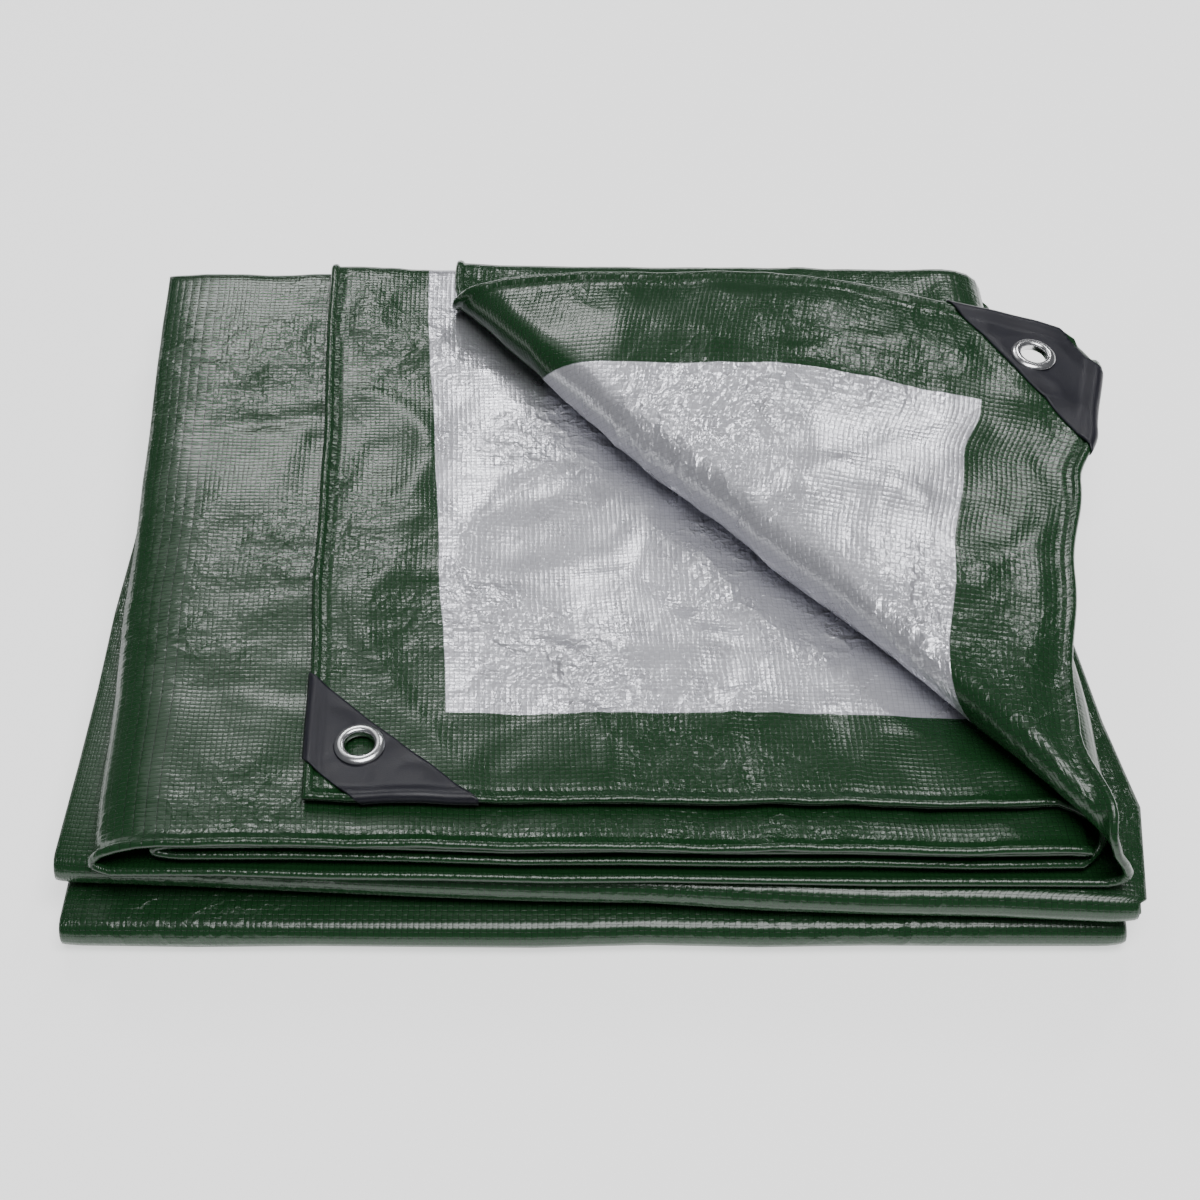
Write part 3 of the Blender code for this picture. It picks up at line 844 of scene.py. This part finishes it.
def hem_pleats(n, u, v):
    """Height of the short pleats across the hems, where the film is drawn tight round the rope."""
    heights = []
    for across, along in ((u, v), (v, u)):
        whole = SHEET_U if across is u else SHEET_V
        from_edge = n.math("MINIMUM", across, n.math("SUBTRACT", whole, across))
        join = n.add("ShaderNodeCombineXYZ")
        n.put(join.inputs[0], n.math("MULTIPLY", across, 0.35))
        n.put(join.inputs[1], n.math("ADD", along, n.math("MULTIPLY", across, 0.6)))
        near = n.ramp(from_edge, 0.005, 0.013, 1.0, 0.0)
        heights.append(n.math("MULTIPLY", n.noise(join.outputs[0], 210.0, 2.0), near))
    return n.math("ADD", heights[0], heights[1])


# %% [markdown]
# The green face is dark and glossy. The silver face has a metal sheen inside a border as wide as
# the folded hem, where the green shows again.

# %% Cloth materials
GREEN, GREEN_DARK = (0.007, 0.040, 0.011, 1.0), (0.002, 0.012, 0.004, 1.0)
GREEN_PALE = (0.014, 0.055, 0.019, 1.0)
SILVER, SILVER_DARK = (0.74, 0.74, 0.79, 1.0), (0.50, 0.50, 0.56, 1.0)
# The paler silver is a painted sheen, laid on the tapes of one direction as if they caught the
# light; the duller one is the film's own uneven tone.
SILVER_TAPE_SHEEN, SILVER_DULL = (0.86, 0.86, 0.90, 1.0), (0.50, 0.50, 0.55, 1.0)
HEM_WIDTH, HEM_BLUR = 0.052, 0.0006
GREEN_ROUGH, SILVER_ROUGH, ROUGH_RANGE = 0.17, 0.22, 0.14
WEAVE_DEPTH, CRINKLE_DEPTH = 0.00012, 0.0005


def cloth_material(name, silver_side):
    material = bpy.data.materials.new(name)
    material.use_nodes = True
    n = Nodes(material.node_tree)
    shader = material.node_tree.nodes["Principled BSDF"]
    flat = n.add("ShaderNodeUVMap", uv_map="sheet").outputs[0]
    split = n.add("ShaderNodeSeparateXYZ")
    n.put(split.inputs[0], flat)
    u, v = split.outputs[0], split.outputs[1]
    over, inside, parity = weave(n, u, v)
    patchy = n.noise(flat, 60.0)
    fine = n.noise(flat, 700.0, 2.0)
    green = n.blend(inside, GREEN_DARK, GREEN)
    green = n.blend(n.math("MULTIPLY", patchy, 0.35), green, GREEN_PALE)
    rough = n.math("ADD", n.math("MULTIPLY", patchy, ROUGH_RANGE), GREEN_ROUGH)
    lift = over
    if silver_side:
        from_left = n.math("SUBTRACT", u, n.ramp(v, 0.0, PANEL_LENGTH, 0.009, 0.0))
        from_right = n.math("SUBTRACT", SHEET_U - 0.006, u)
        from_front = n.math("SUBTRACT", v, n.ramp(u, FLAP_U, FLAP_U + 0.02, 0.0, 0.003))
        from_back = n.math("SUBTRACT", SHEET_V, v)
        sides = n.math("MINIMUM", from_left, from_right)
        edge = n.math("MINIMUM", sides, n.math("MINIMUM", from_front, from_back))
        wobble = n.math("MULTIPLY", n.math("SUBTRACT", n.noise(flat, 12.0), 0.5), 0.004)
        hem = n.ramp(n.math("ADD", edge, wobble), HEM_WIDTH, HEM_WIDTH + HEM_BLUR, 1.0, 0.0)
        silver = n.blend(inside, SILVER_DARK, SILVER)
        # Painted sheen: the tapes that lie over one way are made paler, as light caught on them
        # would make them.
        silver = n.blend(n.math("MULTIPLY", parity, 0.12), silver, SILVER_TAPE_SHEEN)
        silver = n.blend(n.math("MULTIPLY", fine, 0.20), silver, SILVER_DULL)
        n.put(shader.inputs["Base Color"], n.blend(hem, silver, green))
        n.put(shader.inputs["Metallic"], n.math("MULTIPLY", n.math("SUBTRACT", 1.0, hem), 0.72))
        silver_rough = n.math("ADD", n.math("MULTIPLY", patchy, ROUGH_RANGE), SILVER_ROUGH)
        drop = n.math("MULTIPLY", hem, n.math("SUBTRACT", silver_rough, rough))
        n.put(shader.inputs["Roughness"], n.math("SUBTRACT", silver_rough, drop))
        lift = n.math("ADD", lift, n.math("MULTIPLY", hem, 2.0))
    else:
        n.put(shader.inputs["Base Color"], green)
        n.put(shader.inputs["Roughness"], rough)
    bump = n.add("ShaderNodeBump")
    bump.inputs["Strength"].default_value = 0.8
    bump.inputs["Distance"].default_value = WEAVE_DEPTH
    n.put(bump.inputs["Height"], n.math("ADD", lift, n.math("MULTIPLY", fine, 0.4)))
    height_of_crinkles = crinkles(n, flat)
    if silver_side:
        more = n.math("ADD", n.math("MULTIPLY", n.math("SUBTRACT", 1.0, hem), 1.1), 1.0)
        height_of_crinkles = n.math("MULTIPLY", height_of_crinkles, more)
    pleats = n.math("MULTIPLY", hem_pleats(n, u, v), 1.3)
    height_of_crinkles = n.math("ADD", height_of_crinkles, pleats)
    crinkle = n.add("ShaderNodeBump")
    crinkle.inputs["Strength"].default_value = 0.9
    crinkle.inputs["Distance"].default_value = CRINKLE_DEPTH
    n.put(crinkle.inputs["Height"], height_of_crinkles)
    n.put(bump.inputs["Normal"], crinkle.outputs[0])
    n.put(shader.inputs["Normal"], bump.outputs[0])
    shader.inputs["IOR"].default_value = 1.5
    shader.inputs["Coat Weight"].default_value = 0.12
    shader.inputs["Coat Roughness"].default_value = 0.22
    return material


silver_face = cloth_material("tarpaulin_silver_face", True)
green_face = cloth_material("tarpaulin_green_face", False)
tarp.data.materials.append(silver_face)
tarp.data.materials.append(green_face)


# %% [markdown]
# The patches are satin black plastic with a slight grain, and the eyelets are smeared bright metal.

# %% Patch and eyelet materials
PLASTIC_DARK, PLASTIC = (0.004, 0.004, 0.009, 1.0), (0.014, 0.014, 0.024, 1.0)
METAL_DARK, METAL = (0.62, 0.62, 0.63, 1.0), (0.82, 0.82, 0.83, 1.0)


def black_plastic():
    material = bpy.data.materials.new("patch_plastic")
    material.use_nodes = True
    n = Nodes(material.node_tree)
    shader = material.node_tree.nodes["Principled BSDF"]
    flat = n.add("ShaderNodeUVMap", uv_map="sheet").outputs[0]
    cloudy = n.noise(flat, 90.0)
    grain = n.noise(flat, 1400.0, 2.0)
    n.put(shader.inputs["Base Color"], n.blend(cloudy, PLASTIC_DARK, PLASTIC))
    n.put(shader.inputs["Roughness"], n.math("ADD", n.math("MULTIPLY", cloudy, 0.2), 0.34))
    bump = n.add("ShaderNodeBump")
    bump.inputs["Strength"].default_value = 0.4
    bump.inputs["Distance"].default_value = 0.0002
    n.put(bump.inputs["Height"], grain)
    n.put(shader.inputs["Normal"], bump.outputs[0])
    return material


def bright_aluminium():
    material = bpy.data.materials.new("eyelet_aluminium")
    material.use_nodes = True
    n = Nodes(material.node_tree)
    shader = material.node_tree.nodes["Principled BSDF"]
    place = n.add("ShaderNodeTexCoord").outputs["Object"]
    smears = n.noise(place, 500.0)
    n.put(shader.inputs["Base Color"], n.blend(smears, METAL_DARK, METAL))
    shader.inputs["Metallic"].default_value = 1.0
    n.put(shader.inputs["Roughness"], n.math("ADD", n.math("MULTIPLY", smears, 0.18), 0.14))
    return material


plastic, metal = black_plastic(), bright_aluminium()
for patch in patches:
    patch.data.materials.append(plastic)
for eyelet in eyelets:
    eyelet.data.materials.append(metal)

# %% [markdown]
# ## Joining the frame
# Every piece is hung from the root body, and the CAD pieces they stand for are hidden.

# %% Attach the pieces and hide the CAD ones
for piece in [tarp] + patches + eyelets:
    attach(piece, "root")
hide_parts("tarp_cloth")
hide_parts("corner_patch_front")
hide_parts("corner_patch_flap")
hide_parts("eyelet_front")
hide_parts("eyelet_flap")

# %% [markdown]
# ## Stage, light and camera
# A pale floor, a soft light from above and behind for the gloss of the film, and a dimmer
# surround that keeps the green deep.

# %% Stage
bm = bmesh.new()
bmesh.ops.create_grid(bm, x_segments=1, y_segments=1, size=6.0)
floor = new_object("floor", bm, False)
floor_paint = bpy.data.materials.new("floor_paint")
floor_paint.use_nodes = True
paint = floor_paint.node_tree.nodes["Principled BSDF"]
paint.inputs["Base Color"].default_value = (0.86, 0.86, 0.86, 1.0)
paint.inputs["Roughness"].default_value = 0.9
paint.inputs["Emission Color"].default_value = (1.0, 1.0, 1.0, 1.0)
paint.inputs["Emission Strength"].default_value = 1.1
floor.data.materials.append(floor_paint)


def soft_light(name, place, target, size, power):
    light = bpy.data.lights.new(name, "AREA")
    light.shape = "RECTANGLE"
    light.size, light.size_y = size
    light.energy = power
    obj = bpy.data.objects.new(name, light)
    obj.location = place
    obj.rotation_euler = (Vector(target) - Vector(place)).to_track_quat("-Z", "Y").to_euler()
    bpy.context.scene.collection.objects.link(obj)
    return obj


soft_light("back_left", (-0.49, 1.81, 1.50), (0.0, 0.0, 0.0), (0.50, 0.34), 8.0)
soft_light("back_right", (0.64, 1.45, 1.48), (0.1, 0.0, 0.0), (0.22, 0.46), 5.0)
soft_light("broad", (-0.60, 1.10, 1.50), (0.0, 0.0, 0.0), (0.9, 0.8), 2.5)
soft_light("overhead", (0.3, -0.5, 2.3), (0.0, 0.0, 0.0), (1.6, 1.0), 46.0)

world = bpy.data.worlds.new("surround")
bpy.context.scene.world = world
world.use_nodes = True
back = world.node_tree.nodes["Background"]
back.inputs["Color"].default_value = (0.93, 0.95, 1.0, 1.0)
back.inputs["Strength"].default_value = 0.13

# %% Camera
camera_data = bpy.data.cameras.new("camera")
camera_data.lens = 63.0
camera_data.sensor_width = 36.0
camera = bpy.data.objects.new("camera", camera_data)
camera.location = (shift.x, -0.513 + shift.y, 0.775)
camera.rotation_euler = (math.radians(42.0), 0.0, 0.0)
bpy.context.scene.collection.objects.link(camera)
bpy.context.scene.camera = camera
